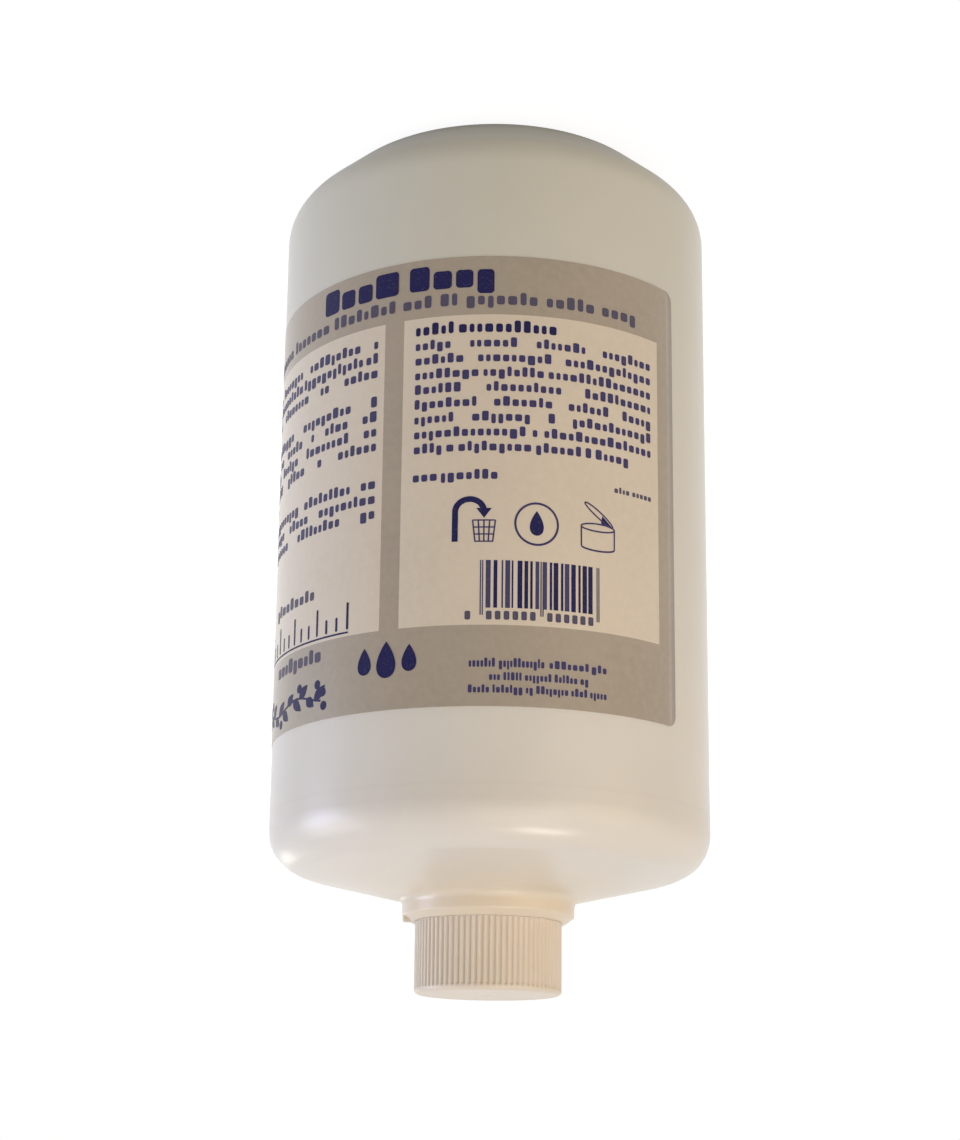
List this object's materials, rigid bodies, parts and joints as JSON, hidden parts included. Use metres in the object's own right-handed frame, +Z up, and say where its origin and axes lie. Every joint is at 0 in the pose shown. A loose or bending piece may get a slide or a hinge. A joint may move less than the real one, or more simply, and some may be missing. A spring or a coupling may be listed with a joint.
{
  "type": "hand soap refill pack",
  "caption": "Round translucent refill bottle of liquid hand soap with a wrap label, rounded shoulder, collar and ribbed screw cap.",
  "frame": {"origin": "middle of the standing ring, on the surface that the bottle stands on", "axes": "+Z up along the bottle's axis towards the cap, -Y out of the middle of the label, +X to the right of someone facing the label"},
  "size_m": [0.09, 0.0903, 0.1755],
  "materials": {
    "bottle_plastic": "milky translucent polyethylene, satin",
    "soap": "pale pearly liquid soap",
    "label_film": "printed film, satin",
    "liner_foam": "white foam",
    "cap_plastic": "white polypropylene, satin"
  },
  "bodies": {
    "pack": {"bottle": "bottle_plastic", "liquid_soap": "soap", "label": "label_film"},
    "liner": {"cap_liner": "liner_foam"},
    "cap": {"screw_cap": "cap_plastic"}
  },
  "joints": [
    {"name": "cap_lift", "type": "slide", "parent": "pack", "child": "liner", "axis": [0, 0, 1], "range_m": [0, 0.0122]},
    {"name": "cap_turn", "type": "hinge", "parent": "liner", "child": "cap", "pos_m": [0, 0, 0.16132], "axis": [0, 0, 1], "range_deg": [0, 1030]}
  ],
  "couplings": [
    {"joint": "cap_lift", "follows": "cap_turn", "m_per_rad": 0.00067322}
  ]
}
